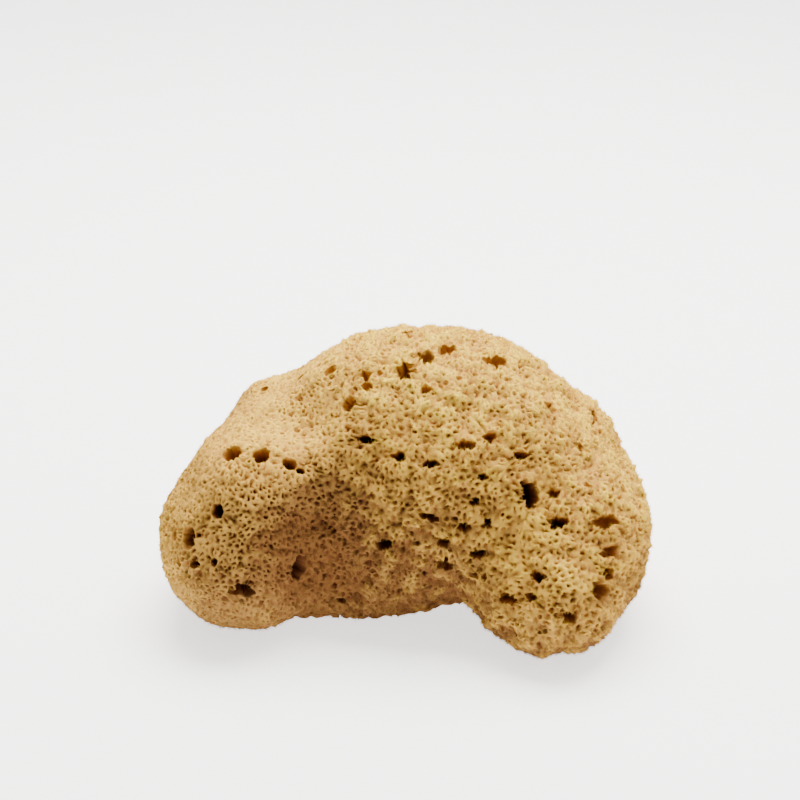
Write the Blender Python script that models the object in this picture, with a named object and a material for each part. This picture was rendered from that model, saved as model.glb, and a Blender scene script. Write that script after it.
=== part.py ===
"""A natural sea sponge for the bath: one kidney-shaped body with round canal mouths, cut flat underneath.

Sizes in the tables are millimetres, and the meshes are made in metres.
+X is the sponge's right as seen from its hollow front, +Y is its back, +Z is up.
The lobes have their own zero, and the finished sponge is moved so that the origin is on the table under
the middle of its box.
"""

import math
from dataclasses import dataclass

import bmesh
import bpy
import numpy as np
from mathutils import Vector
from mathutils.bvhtree import BVHTree

MM = 0.001
SEED = 7

# Driving sizes of the body, in millimetres
LOBE_POWER = 2.2  # 2 is an ellipsoid, and more is squarer
BLEND = 8.0  # how far two lobes melt into each other
LUMP_HEIGHT = 0.55
LUMP_LENGTHS = (11.0, 26.0)
LUMP_WAVES = 14
GRID_LEVEL = 5  # an icosphere of this level is drawn tight over the lobes
START_RADII = (78.0, 64.0, 56.0)

# Each lobe is its centre and its three radii.
LOBES = {
    "body": ((4, 7, 27), (37, 31, 27)),
    "base": ((2, 9, 9), (42, 21, 17)),
    "crown": ((4, 8, 42), (28.5, 22, 18.5)),
    "crown_right": ((22, 5, 36.5), (17, 22, 18.5)),
    "front": ((12, -9, 32), (28, 18, 18)),
    "left_shoulder": ((-28, 8, 28), (18, 20, 17)),
    "left_corner": ((-30.5, 15, 38), (7, 8, 5)),
    "left_lobe": ((-39.5, -13.3, 17.8), (19, 22.3, 20)),
    "left_brow": ((-35, -12, 33), (12, 16, 12.5)),
    "middle_bulge": ((-3, -10.5, 19.5), (14, 14, 16.5)),
    "middle_foot": ((-15, -9.5, 5), (17, 12.3, 8)),
    "right_side": ((36.2, 0.5, 22), (18.8, 23, 20)),
    "right_corner": ((41, 8, 36.5), (6, 8, 4.5)),
    "right_front": ((40, -15, 20), (18, 19, 17)),
    "right_hollow": ((21, -12, 21), (16.5, 13.3, 14)),
    "right_foot": ((34.2, -26.2, 13.5), (15.6, 18.3, 14.5)),
}

# The front's mouths are laid out as an eye sees them, on a plane through SIGHT_CENTRE that faces the eye.
SIGHT_CENTRE = (0.0, 0.0, 25.0)
SIGHT_DISTANCE = 465.0
SIGHT_ELEVATION = 30.0


@dataclass(frozen=True)
class Mouth:
    """One canal mouth: its place on the sight plane, its width and height there, its turn, and the canal's depth."""

    across: float
    up: float
    wide: float
    high: float
    turn: float = 0.0
    deep: float = 7.0


FRONT_MOUTHS = (
    # The left lobe, from its top row down
    Mouth(-42.5, 8.6, 4.9, 3.1, -10),
    Mouth(-35.2, 7.9, 4.4, 3.6),
    Mouth(-28.3, 6.0, 3.6, 2.6, -20),
    Mouth(-25.6, 4.0, 2.6, 1.7, -35, 4),
    Mouth(-46.1, -5.9, 3.1, 3.6),
    Mouth(-53.2, -12.8, 4.0, 5.0, 10),
    Mouth(-56.7, -11.8, 2.2, 2.4, 0, 3),
    Mouth(-51.7, -18.7, 3.6, 2.8),
    Mouth(-46.8, -18.5, 1.8, 2.4, 0, 4),
    Mouth(-55.6, -18.5, 1.7, 1.7, 0, 3),
    Mouth(-25.4, -20.0, 4.8, 4.4),
    Mouth(-38.7, -25.4, 4.6, 2.8, -30),
    Mouth(-42.9, -25.1, 2.2, 2.2, 0, 4),
    Mouth(-34.7, 24.4, 2.2, 1.7, 0, 3),
    # The crown
    Mouth(-18.5, 28.8, 3.1, 2.4, -20, 4),
    Mouth(-9.6, 27.8, 3.2, 2.6, 0, 4),
    Mouth(-9.1, 24.9, 3.0, 2.0, 0, 3),
    Mouth(-13.6, 20.7, 4.8, 3.2, -30, 5),
    Mouth(0.0, 29.3, 5.4, 3.6, 0, 5),
    Mouth(-0.7, 26.8, 2.2, 1.8, 0, 5),
    Mouth(5.4, 32.3, 4.2, 4.0, 0, 9),
    Mouth(10.8, 34.0, 4.6, 2.6, 0, 4),
    Mouth(22.7, 31.3, 6.0, 3.4, 10, 5),
    Mouth(0.7, 38.4, 2.2, 1.7, 0, 3),
    Mouth(5.4, 24.1, 3.6, 2.0, 0, 5),
    Mouth(36.2, 20.0, 4.0, 3.2, 0, 3),
    Mouth(46.6, 18.0, 1.7, 2.8, 0, 3),
    Mouth(43.4, 10.0, 2.0, 1.8, 0, 3),
    # Under the brow of the front
    Mouth(-9.6, 11.6, 5.4, 1.9, -5),
    Mouth(-1.5, 7.9, 4.0, 3.0, 0, 8),
    Mouth(6.4, 5.9, 3.5, 2.5),
    Mouth(14.5, 10.4, 6.2, 2.6, 0, 5),
    Mouth(21.2, 12.6, 4.0, 2.4, 15, 4),
    Mouth(28.6, 7.9, 5.0, 2.1, 0, 5),
    Mouth(19.7, 2.5, 2.6, 2.0, 0, 5),
    Mouth(30.8, -1.2, 4.8, 6.2, 10, 12),
    Mouth(36.6, -1.2, 3.2, 2.8, 0, 3),
    # The front's lower half
    Mouth(-5.2, -14.5, 4.2, 3.0, 0, 8),
    Mouth(6.0, -7.5, 4.2, 2.0, -15, 4),
    Mouth(17.3, -3.7, 3.4, 2.0, 0, 5),
    Mouth(14.8, -9.9, 3.5, 3.0),
    Mouth(20.2, -9.1, 3.0, 3.1),
    Mouth(37.7, -8.4, 5.0, 2.9, 0, 8),
    Mouth(9.4, -13.6, 3.3, 2.3, 0, 4),
    Mouth(17.7, -16.5, 4.0, 2.4),
    Mouth(10.1, -19.2, 3.6, 2.8, 0, 5),
    Mouth(19.2, -21.9, 2.4, 1.7, 0, 4),
    Mouth(32.5, -21.7, 4.0, 2.8, 0, 8),
    Mouth(25.4, -27.4, 5.0, 2.2, 0, 4),
    Mouth(30.8, -26.9, 3.6, 2.0, 0, 4),
    Mouth(-15.5, -28.1, 3.2, 1.3, -40, 4),
    # The right side and foot
    Mouth(40.9, -32.0, 4.6, 3.1, 10, 8),
    Mouth(48.0, -25.4, 5.6, 4.6, 30, 4),
    Mouth(50.5, -21.2, 3.6, 2.2, -10, 4),
    Mouth(49.8, -8.4, 7.6, 3.2, 15, 3),
    Mouth(51.0, -15.5, 5.6, 3.2, 10, 3),
)

# The sides that the sight plane doesn't show have mouths of the same kind, scattered.
HIDDEN_MOUTHS = 46
HIDDEN_WIDTHS = (1.8, 4.6)
HIDDEN_DEPTHS = (3.5, 9.0)
HIDDEN_FLATNESS = (0.6, 1.0)  # a mouth's height against its width
LEAST_GAP = 3.0  # between the edges of two mouths that are scattered
LOWEST_MOUTH = 5.0  # above the table
SHOWN = 0.25  # the skin shows to the front where its slope towards the eye is over this
BASE_MOUTHS = 7
BASE_MOUTH_WIDTHS = (2.2, 4.2)
BASE_MOUTH_DEPTHS = (4.0, 7.0)
BASE_REACH = ((-52.0, 48.0), (-40.0, 34.0))  # where the cut face lies, in X and in Y
BASE_MARGIN = 8.0  # the cut face's mouths keep this far inside its edge
BASE_GAP = 12.0
REST_POINT = (2.0, 9.0)  # the cut face is whole around this point
REST_CLEARANCE = 8.0

MOST_SPREAD = 1.6  # the most that a mouth is stretched for being seen aslant
SMALL_MOUTH = 1.6  # half the width under which a mouth has fewer sides
SMALL_MOUTH_SIDES = 7
MOUTH_SIDES = 9
MOUTH_RISE = 2.5  # a cutter stands this far out of the surface
MOUTH_FULLNESS = 1.06  # makes up for the corners that a many-sided mouth lacks
MOUTH_RAGGED = 0.16  # how much a mouth's outline strays, as a share of its radius
CANAL_TAPER = 0.55  # the canal's floor against its mouth
OUTSIDE = 200.0  # a distance from the middle that is clear of the body
SKIN_DEEP = 0.1  # a step just off a face

SPONGE_TAN = (0.56, 0.36, 0.16, 1.0)


def clear_scene() -> None:
    """Removes what the scene holds at the start."""
    for obj in list(bpy.data.objects):
        bpy.data.objects.remove(obj, do_unlink=True)


def lobe_distance(points, centre, radii):
    """About how far points lie outside one lobe, a superellipsoid."""
    offset = np.abs(points - np.array(centre, float)) / np.array(radii, float)
    reach = np.maximum((offset**LOBE_POWER).sum(1) ** (1 / LOBE_POWER), 1e-6)
    steepness = np.linalg.norm(offset ** (LOBE_POWER - 1) / np.array(radii, float), axis=1)
    return (reach - 1) / np.maximum(steepness * reach ** (1 - LOBE_POWER), 1e-9)


def lump_waves():
    """The waves that make the body's low lumps, as directions over wavelength and phases."""
    rng = np.random.default_rng(SEED)
    ways = rng.normal(size=(LUMP_WAVES, 3))
    ways /= np.linalg.norm(ways, axis=1, keepdims=True)
    lengths = rng.uniform(*LUMP_LENGTHS, LUMP_WAVES)
    return ways * (2 * math.pi / lengths)[:, None], rng.uniform(0, 2 * math.pi, LUMP_WAVES)


WAVES, PHASES = lump_waves()


def form(points):
    """The body's surface is where this is nought. It is about the distance outside it, in millimetres."""
    melted = sum(np.exp(-2 * lobe_distance(points, *lobe) / BLEND) for lobe in LOBES.values())
    lumps = np.sin(points @ WAVES.T + PHASES).sum(1) * LUMP_HEIGHT / math.sqrt(LUMP_WAVES)
    return -np.log(melted) * BLEND / 2 - lumps


def form_slope(points, step=0.1):
    """The direction in which form() grows fastest, and how fast."""
    slope = np.stack([form(points + step * axis) - form(points - step * axis) for axis in np.eye(3)], 1)
    slope /= 2 * step
    steepness = np.maximum(np.linalg.norm(slope, axis=1, keepdims=True), 1e-6)
    return slope / steepness, steepness[:, 0]


def drawn_tight(start, neighbours, rounds=140, longest_step=2.5, evening=0.9):
    """Points drawn onto the form, evened out along it between the steps."""
    points = start
    for count in range(rounds):
        way, steepness = form_slope(points)
        step = np.clip(form(points) / steepness, -longest_step, longest_step)
        points = points - way * step[:, None]
        if count < rounds - 4:
            pull = points[neighbours].mean(1) - points
            pull -= way * (pull * way).sum(1, keepdims=True)
            points = points + evening * pull
    return points


def body_mesh() -> bmesh.types.BMesh:
    """The body's skin as triangles of one size, in metres, not yet cut."""
    skin = bmesh.new()
    bmesh.ops.create_icosphere(skin, subdivisions=GRID_LEVEL, radius=1.0)
    skin.verts.index_update()
    # A vertex where five triangles meet repeats its first neighbour, so that all have six.
    rings = [[edge.other_vert(vert).index for edge in vert.link_edges] for vert in skin.verts]
    neighbours = np.array([(ring + ring[:1])[:6] for ring in rings])
    centre = np.array(LOBES["body"][0], float)
    start = np.array([vert.co for vert in skin.verts]) * START_RADII + centre
    for vert, place in zip(skin.verts, drawn_tight(start, neighbours)):
        vert.co = place * MM
    return skin


def cut_flat(skin: bmesh.types.BMesh) -> None:
    """Cuts the skin off at the table and closes it with one flat face."""
    everything = skin.verts[:] + skin.edges[:] + skin.faces[:]
    cut = bmesh.ops.bisect_plane(
        skin, geom=everything, dist=1e-6, plane_co=(0, 0, 0), plane_no=(0, 0, -1), clear_outer=True
    )
    rim = [item for item in cut["geom_cut"] if isinstance(item, bmesh.types.BMEdge)]
    bmesh.ops.holes_fill(skin, edges=rim, sides=0)
    bmesh.ops.recalc_face_normals(skin, faces=skin.faces[:])


def sight_ray(across: float, up: float) -> tuple[Vector, Vector]:
    """The eye and the direction in which it sees a point of the sight plane, in metres."""
    tilt = math.radians(SIGHT_ELEVATION)
    back = Vector((0, -math.cos(tilt), math.sin(tilt)))
    rise = Vector((0, math.sin(tilt), math.cos(tilt)))
    centre = Vector(SIGHT_CENTRE)
    eye = centre + back * SIGHT_DISTANCE
    seen = centre + Vector((1, 0, 0)) * across + rise * up
    return eye * MM, (seen - eye).normalized()


@dataclass
class Canal:
    """A canal to cut: the middle of its mouth, the way out, the mouth's two half axes, and its depth, in metres."""

    place: Vector
    out: Vector
    wide: Vector
    high: Vector
    deep: float


def canal_at(place: Vector, out: Vector, rise: Vector, mouth: Mouth, spread: float = 1.0) -> Canal:
    """A canal square to the skin, with its mouth's axes laid along the skin.

    spread makes up for a mouth that is seen aslant.
    """
    side = rise.cross(out).normalized()
    upward = out.cross(side).normalized()
    turn = math.radians(mouth.turn)
    wide = side * math.cos(turn) + upward * math.sin(turn)
    high = upward * math.cos(turn) - side * math.sin(turn)
    return Canal(place, out, wide * mouth.wide / 2 * MM, high * mouth.high / 2 * spread * MM, mouth.deep * MM)


def front_canals(tree: BVHTree) -> list[Canal]:
    """The canals whose mouths the front shows."""
    rise = Vector((0, math.sin(math.radians(SIGHT_ELEVATION)), math.cos(math.radians(SIGHT_ELEVATION))))
    canals = []
    for mouth in FRONT_MOUTHS:
        eye, way = sight_ray(mouth.across, mouth.up)
        place, out, _, _ = tree.ray_cast(eye, way)
        if place is None:
            continue
        spread = min(1 / max(-way.dot(out), 1 / MOST_SPREAD), MOST_SPREAD)
        canals.append(canal_at(place, out, rise, mouth, spread))
    return canals


def hidden_canals(tree: BVHTree, taken: list[Canal]) -> list[Canal]:
    """Canals scattered over the back, the sides and the underside's rounding."""
    rng = np.random.default_rng(SEED)
    eye, _ = sight_ray(0, 0)
    middle = Vector(LOBES["body"][0]) * MM
    canals = []
    while len(canals) < HIDDEN_MOUTHS:
        way = Vector(rng.normal(size=3)).normalized()
        wide = rng.uniform(*HIDDEN_WIDTHS)
        high = wide * rng.uniform(*HIDDEN_FLATNESS)
        mouth = Mouth(0, 0, wide, high, rng.uniform(0, 180), rng.uniform(*HIDDEN_DEPTHS))
        place, out, _, _ = tree.ray_cast(middle + way * OUTSIDE * MM, -way)
        if place is None or place.z < LOWEST_MOUTH * MM or out.dot((eye - place).normalized()) > SHOWN:
            continue
        room = (LEAST_GAP + wide) * MM
        if all((place - other.place).length > room + other.wide.length for other in taken + canals):
            canals.append(canal_at(place, out, Vector((0, 0.3, 1)), mouth))
    return canals


def base_canals(tree: BVHTree) -> list[Canal]:
    """Canals that the flat cut underneath has opened."""
    rng = np.random.default_rng(SEED + 1)
    rest = Vector((*REST_POINT, 0)) * MM
    bearings = [Vector((math.cos(a), math.sin(a), 0)) for a in np.linspace(0, 2 * math.pi, 8, endpoint=False)]
    canals = []
    while len(canals) < BASE_MOUTHS:
        spot = Vector((rng.uniform(*BASE_REACH[0]), rng.uniform(*BASE_REACH[1]), 0)) * MM
        mouth = Mouth(0, 0, *rng.uniform(*BASE_MOUTH_WIDTHS, 2), 0, rng.uniform(*BASE_MOUTH_DEPTHS))
        below = tree.ray_cast(spot - Vector((0, 0, OUTSIDE)) * MM, Vector((0, 0, 1)))[0]
        if below is None or below.z > SKIN_DEEP * MM or (spot - rest).length < REST_CLEARANCE * MM:
            continue
        edges = [tree.ray_cast(spot + Vector((0, 0, SKIN_DEEP)) * MM, bearing)[3] for bearing in bearings]
        if None in edges or min(edges) < BASE_MARGIN * MM:
            continue
        if all((spot - other.place).length > BASE_GAP * MM for other in canals):
            canals.append(canal_at(spot, Vector((0, 0, -1)), Vector((0, 1, 0)), mouth))
    return canals


def add_cutter(cutters: bmesh.types.BMesh, canal: Canal, rng) -> None:
    """Adds the closed plug that cuts one canal: a ragged outline, narrowing inwards."""
    small = max(canal.wide.length, canal.high.length) < SMALL_MOUTH * MM
    sides = SMALL_MOUTH_SIDES if small else MOUTH_SIDES
    angles = (np.arange(sides) + rng.uniform(-0.25, 0.25, sides)) * 2 * math.pi / sides
    reach = MOUTH_FULLNESS + rng.uniform(-MOUTH_RAGGED, MOUTH_RAGGED, sides)
    outline = [(canal.wide * math.cos(a) + canal.high * math.sin(a)) * r for a, r in zip(angles, reach)]
    flare = 1 + (1 - CANAL_TAPER) * MOUTH_RISE * MM / canal.deep
    outer = [cutters.verts.new(canal.place + canal.out * MOUTH_RISE * MM + point * flare) for point in outline]
    inner = [cutters.verts.new(canal.place - canal.out * canal.deep + point * CANAL_TAPER) for point in outline]
    for i in range(sides):
        j = (i + 1) % sides
        cutters.faces.new((outer[i], inner[i], inner[j], outer[j]))
    cutters.faces.new(outer)
    cutters.faces.new(inner[::-1])


def sponge_material() -> bpy.types.Material:
    """Dry, matt, tan spongin."""
    material = bpy.data.materials.new("sponge_tan")
    material.use_nodes = True
    shader = material.node_tree.nodes["Principled BSDF"]
    shader.inputs["Base Color"].default_value = SPONGE_TAN
    shader.inputs["Roughness"].default_value = 0.95
    shader.inputs["Metallic"].default_value = 0.0
    return material


def linked_object(name: str, mesh_source: bmesh.types.BMesh) -> bpy.types.Object:
    """Turns a bmesh into an object of the scene."""
    mesh = bpy.data.meshes.new(name)
    mesh_source.to_mesh(mesh)
    obj = bpy.data.objects.new(name, mesh)
    bpy.context.scene.collection.objects.link(obj)
    return obj


def middle_of(skin: bmesh.types.BMesh) -> Vector:
    """The point of the table under the middle of the skin's box."""
    places = np.array([vert.co for vert in skin.verts])
    low, high = places.min(0), places.max(0)
    return Vector(((low[0] + high[0]) / 2, (low[1] + high[1]) / 2, 0))


def build() -> None:
    """Builds the sponge: the body, then its canals cut from it."""
    clear_scene()
    skin = body_mesh()
    cut_flat(skin)
    middle = middle_of(skin)
    tree = BVHTree.FromBMesh(skin)
    sponge = linked_object("sponge", skin)
    sponge.location = -middle
    sponge.data.shade_smooth()
    sponge.data.set_sharp_from_angle(angle=math.radians(50))
    sponge.data.materials.append(sponge_material())

    canals = front_canals(tree)
    canals += hidden_canals(tree, canals)
    canals += base_canals(tree)
    rng = np.random.default_rng(SEED + 2)
    cutters = bmesh.new()
    for canal in canals:
        add_cutter(cutters, canal, rng)
    bmesh.ops.recalc_face_normals(cutters, faces=cutters.faces[:])
    plugs = linked_object("canal_cutters", cutters)
    plugs.location = -middle
    plugs.hide_render = True
    plugs.display_type = "WIRE"

    cut = sponge.modifiers.new("canals", "BOOLEAN")
    cut.operation = "DIFFERENCE"
    cut.solver = "EXACT"
    cut.use_self = True
    cut.object = plugs


build()
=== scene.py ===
"""A natural bath sponge, dressed over its CAD solid.

The solid gives the place, the outline and the depth of every canal. The lobes, repeated from the solid's
design, give the skin between the canals. The skin is an uneven honeycomb with a pore in each cell, and the
ridges between the pores carry a nap of fine fibres.
Sizes in the classes are millimetres, and every mesh is made in metres, in the solid's frame.
"""

from __future__ import annotations

import logging
import math
from dataclasses import dataclass, field
from enum import Enum

import bmesh
import bpy
import numpy as np
from bpy.types import Material, Mesh, Node, NodeSocket, NodeTree, Object
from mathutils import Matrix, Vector
from mathutils.geometry import delaunay_2d_cdt
from mathutils.kdtree import KDTree

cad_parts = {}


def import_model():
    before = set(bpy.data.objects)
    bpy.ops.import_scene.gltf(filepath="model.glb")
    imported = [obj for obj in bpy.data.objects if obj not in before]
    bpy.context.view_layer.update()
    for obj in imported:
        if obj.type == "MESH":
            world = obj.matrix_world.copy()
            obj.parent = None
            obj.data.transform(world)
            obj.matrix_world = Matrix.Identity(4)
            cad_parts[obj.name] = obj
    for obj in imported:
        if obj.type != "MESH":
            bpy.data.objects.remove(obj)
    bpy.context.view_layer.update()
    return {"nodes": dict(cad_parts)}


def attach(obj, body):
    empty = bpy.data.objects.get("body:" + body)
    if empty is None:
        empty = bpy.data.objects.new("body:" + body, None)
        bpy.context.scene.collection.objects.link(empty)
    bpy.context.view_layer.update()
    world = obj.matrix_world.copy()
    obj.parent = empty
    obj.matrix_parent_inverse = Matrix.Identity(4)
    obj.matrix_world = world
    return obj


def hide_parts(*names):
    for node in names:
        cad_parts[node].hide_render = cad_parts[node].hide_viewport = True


MM = 0.001
SEED = 7
TINY = 1e-9
WELD = 1e-6  # in metres: corners nearer than this are one
UPRIGHT = 0.9  # a direction that rises more than this has no clear sideways of its own
WIDTH_SALT = 20  # keeps the random widths of the canals' steps apart from their nudges
LOG = logging.getLogger("sponge")

Array = np.ndarray
Pair = tuple[float, float]
Triple = tuple[float, float, float]
Colour = tuple[float, float, float, float]
WHITE: Colour = (1.0, 1.0, 1.0, 1.0)


class Holder(Enum):
    """What on a mesh a named number belongs to."""

    CORNER = "POINT"
    CELL = "FACE"


class Signal:
    """A node's output socket, on which Python's arithmetic adds Math nodes."""

    def __init__(self, graph: Graph, socket: NodeSocket) -> None:
        """Keeps the socket and the graph it is in."""
        self.graph = graph
        self.socket = socket

    def with_(self, operation: str, *others: Signal | float, clamp: bool = False) -> Signal:
        """Adds a Math node.

        Args:
            operation: the Math node's operation.
            others: its further inputs.
            clamp: whether the result stays between 0 and 1.

        Returns:
            The node's result.
        """
        settings = {"operation": operation, "use_clamp": clamp}
        return self.graph.out("ShaderNodeMath", settings, dict(enumerate((self, *others))))

    def __add__(self, other: Signal | float) -> Signal:
        """Self plus other."""
        return self.with_("ADD", other)

    __radd__ = __add__

    def __sub__(self, other: Signal | float) -> Signal:
        """Self minus other."""
        return self.with_("SUBTRACT", other)

    def __rsub__(self, other: float) -> Signal:
        """Other minus self."""
        return self.with_("MULTIPLY", -1.0) + other

    def __mul__(self, other: Signal | float) -> Signal:
        """Self times other."""
        return self.with_("MULTIPLY", other)

    __rmul__ = __mul__

    def clamped(self) -> Signal:
        """Self, kept between 0 and 1."""
        return self.with_("ADD", 0.0, clamp=True)

    def spread(self, low: float, high: float) -> Signal:
        """Self stretched so that low is 0 and high is 1, kept between them."""
        return self.with_("MULTIPLY_ADD", 1 / (high - low), -low / (high - low), clamp=True)


class Graph:
    """A node tree, for a material or for Geometry Nodes."""

    def __init__(self, tree: NodeTree) -> None:
        """Keeps the tree."""
        self.tree = tree

    @staticmethod
    def _find(sockets: bpy.types.bpy_prop_collection, key: str | int) -> NodeSocket:
        """A socket by its identifier, its name or its number.

        Args:
            sockets: a node's inputs or outputs.
            key: the identifier, name or number.

        Returns:
            The socket.
        """
        if isinstance(key, int):
            return sockets[key]
        matches = [socket for socket in sockets if socket.identifier == key]
        return matches[0] if matches else sockets[key]

    def node(self, kind: str, settings: dict | None = None, values: dict | None = None) -> Node:
        """Adds a node.

        Args:
            kind: the node's type.
            settings: its properties, such as a Math node's operation, which are set first.
            values: the value or the link of each input, by identifier, name or number.

        Returns:
            The node.
        """
        node = self.tree.nodes.new(kind)
        for name, value in (settings or {}).items():
            setattr(node, name, value)
        for key, value in (values or {}).items():
            socket = self._find(node.inputs, key)
            if isinstance(value, Signal):
                self.tree.links.new(value.socket, socket)
            else:
                socket.default_value = value
        return node

    def out(self, kind: str, settings: dict | None = None, values: dict | None = None,
            output: str | int = 0) -> Signal:
        """Adds a node and gives one of its outputs. The arguments are those of node()."""
        return self.pick(self.node(kind, settings, values), output)

    def pick(self, node: Node, output: str | int) -> Signal:
        """One output of a node that is already there."""
        return Signal(self, self._find(node.outputs, output))

    def mixed(self, amount: Signal | float, first: Signal | Colour, second: Signal | Colour) -> Signal:
        """A colour between two."""
        values = {"Factor_Float": amount, "A_Color": first, "B_Color": second}
        return self.out("ShaderNodeMix", {"data_type": "RGBA"}, values, "Result_Color")

    def noise(self, place: Signal, scale: float, detail: float) -> Signal:
        """A noise over a surface, in a material."""
        return self.out("ShaderNodeTexNoise", None, {"Vector": place, "Scale": scale, "Detail": detail})

    def carried(self, name: str) -> Signal:
        """A named number that the mesh carries, in a material."""
        return self.out("ShaderNodeAttribute", {"attribute_name": name}, None, "Fac")


class GrownShape:
    """A Geometry Nodes tree that makes one piece from a mesh."""

    def __init__(self, name: str, sizes: dict[str, float | int]) -> None:
        """Starts the tree.

        Args:
            name: the tree's name.
            sizes: the tree's named inputs. Whole numbers become whole-number inputs.
        """
        tree = bpy.data.node_groups.new(name, "GeometryNodeTree")
        tree.interface.new_socket("Geometry", in_out="INPUT", socket_type="NodeSocketGeometry")
        self.identifiers = {}
        for label, value in sizes.items():
            kind = "NodeSocketInt" if isinstance(value, int) else "NodeSocketFloat"
            size = tree.interface.new_socket(label, in_out="INPUT", socket_type=kind)
            self.identifiers[label] = size.identifier
        finish = tree.interface.new_socket("Material", in_out="INPUT", socket_type="NodeSocketMaterial")
        self.identifiers["Material"] = finish.identifier
        tree.interface.new_socket("Geometry", in_out="OUTPUT", socket_type="NodeSocketGeometry")
        self.sizes = sizes
        self.graph = Graph(tree)
        self.inputs = self.graph.node("NodeGroupInput")

    def given(self, label: str) -> Signal:
        """One of the tree's inputs."""
        return self.graph.pick(self.inputs, label)

    def attribute(self, name: str) -> Signal:
        """A named number on the mesh."""
        return self.graph.out("GeometryNodeInputNamedAttribute", {"data_type": "FLOAT"}, {"Name": name})

    def random(self, low: Signal | Triple | float, high: Signal | Triple | float, salt: int) -> Signal:
        """A random number for each element, or between two triples a random vector.

        Args:
            low: the least.
            high: the most.
            salt: keeps these random numbers apart from others.

        Returns:
            The random numbers or vectors.
        """
        kind, tail = ("FLOAT_VECTOR", "") if isinstance(low, tuple) else ("FLOAT", "_001")
        values = {"Min" + tail: low, "Max" + tail: high, "Seed": self.given("Seed") + float(salt)}
        return self.graph.out("FunctionNodeRandomValue", {"data_type": kind}, values, "Value" + tail)

    def vector(self, operation: str, first: Signal | Triple, second: Signal | Triple | float) -> Signal:
        """Vector maths on two inputs. SCALE takes a number as its second."""
        key = "Scale" if operation == "SCALE" else 1
        return self.graph.out("ShaderNodeVectorMath", {"operation": operation}, {0: first, key: second})

    def height(self) -> Signal:
        """How high each corner is."""
        place = self.graph.out("GeometryNodeInputPosition")
        return self.graph.out("ShaderNodeSeparateXYZ", None, {0: place}, "Z")

    def parts(self, **lengths: Signal | float) -> Signal:
        """A vector from its X, Y and Z."""
        return self.graph.out("ShaderNodeCombineXYZ", None, lengths)

    def moved(self, geometry: Signal, offset: Signal) -> Signal:
        """Geometry with each corner moved."""
        return self.graph.out("GeometryNodeSetPosition", None, {"Geometry": geometry, "Offset": offset})

    def over_floor(self, geometry: Signal) -> Signal:
        """Lifts what is under the floor up to it."""
        return self.moved(geometry, self.parts(Z=(0.0 - self.height()).with_("MAXIMUM", 0.0)))

    def stored(self, geometry: Signal, name: str, value: Signal | float,
               chosen: Signal | bool = True) -> Signal:
        """Stores a named number on the chosen corners."""
        return self.graph.out(
            "GeometryNodeStoreNamedAttribute",
            {"data_type": "FLOAT", "domain": "POINT"},
            {"Geometry": geometry, "Selection": chosen, "Name": name, "Value": value},
        )

    def logic(self, operation: str, first: Signal | bool, second: Signal) -> Signal:
        """A yes or no from two others."""
        return self.graph.out("FunctionNodeBooleanMath", {"operation": operation}, {0: first, 1: second})

    def applied(self, piece: Object, last: Signal,
                material: Material) -> Object:
        """Ends the tree, runs it on a piece and leaves a plain mesh.

        Args:
            piece: the object whose mesh the tree starts from, which takes the result.
            last: the tree's last geometry.
            material: the finish.

        Returns:
            The piece.
        """
        real = self.graph.out("GeometryNodeRealizeInstances", None, {"Geometry": last})
        dressed = self.graph.out(
            "GeometryNodeSetMaterial", None, {"Geometry": real, "Material": self.given("Material")}
        )
        self.graph.node("NodeGroupOutput", None, {"Geometry": dressed})
        modifier = piece.modifiers.new("grown", "NODES")
        modifier.node_group = self.graph.tree
        for label, value in self.sizes.items():
            modifier[self.identifiers[label]] = value
        modifier[self.identifiers["Material"]] = material
        deps = bpy.context.evaluated_depsgraph_get()
        mesh = bpy.data.meshes.new_from_object(piece.evaluated_get(deps), depsgraph=deps)
        piece.modifiers.remove(modifier)
        old = piece.data
        piece.data = mesh
        bpy.data.meshes.remove(old)
        mesh.name = piece.name
        return piece


def new_piece(name: str, data: bpy.types.ID) -> Object:
    """Adds a mesh, a camera or a light to the scene as an object at the origin.

    Args:
        name: the object's name.
        data: the mesh, the camera or the light.

    Returns:
        The object.
    """
    piece = bpy.data.objects.new(name, data)
    bpy.context.scene.collection.objects.link(piece)
    return piece


def triangle_count(mesh: Mesh) -> int:
    """How many triangles a mesh's faces come to."""
    return sum(len(face.vertices) - 2 for face in mesh.polygons)


class Waves:
    """Waves in random directions, which add up to lumps."""

    def __init__(self, count: int, lengths: Pair, rng: np.random.Generator) -> None:
        """Draws the waves' directions, lengths and phases.

        Args:
            count: how many waves.
            lengths: the shortest and the longest.
            rng: the random numbers.
        """
        ways = rng.normal(size=(count, 3))
        ways /= np.linalg.norm(ways, axis=1, keepdims=True)
        self.ways = ways * (2 * math.pi / rng.uniform(*lengths, count))[:, None]
        self.phases = rng.uniform(0, 2 * math.pi, count)

    def sum_at(self, places: Array) -> Array:
        """The sum of the waves at each place."""
        return np.sin(places @ self.ways.T + self.phases).sum(1)


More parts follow.
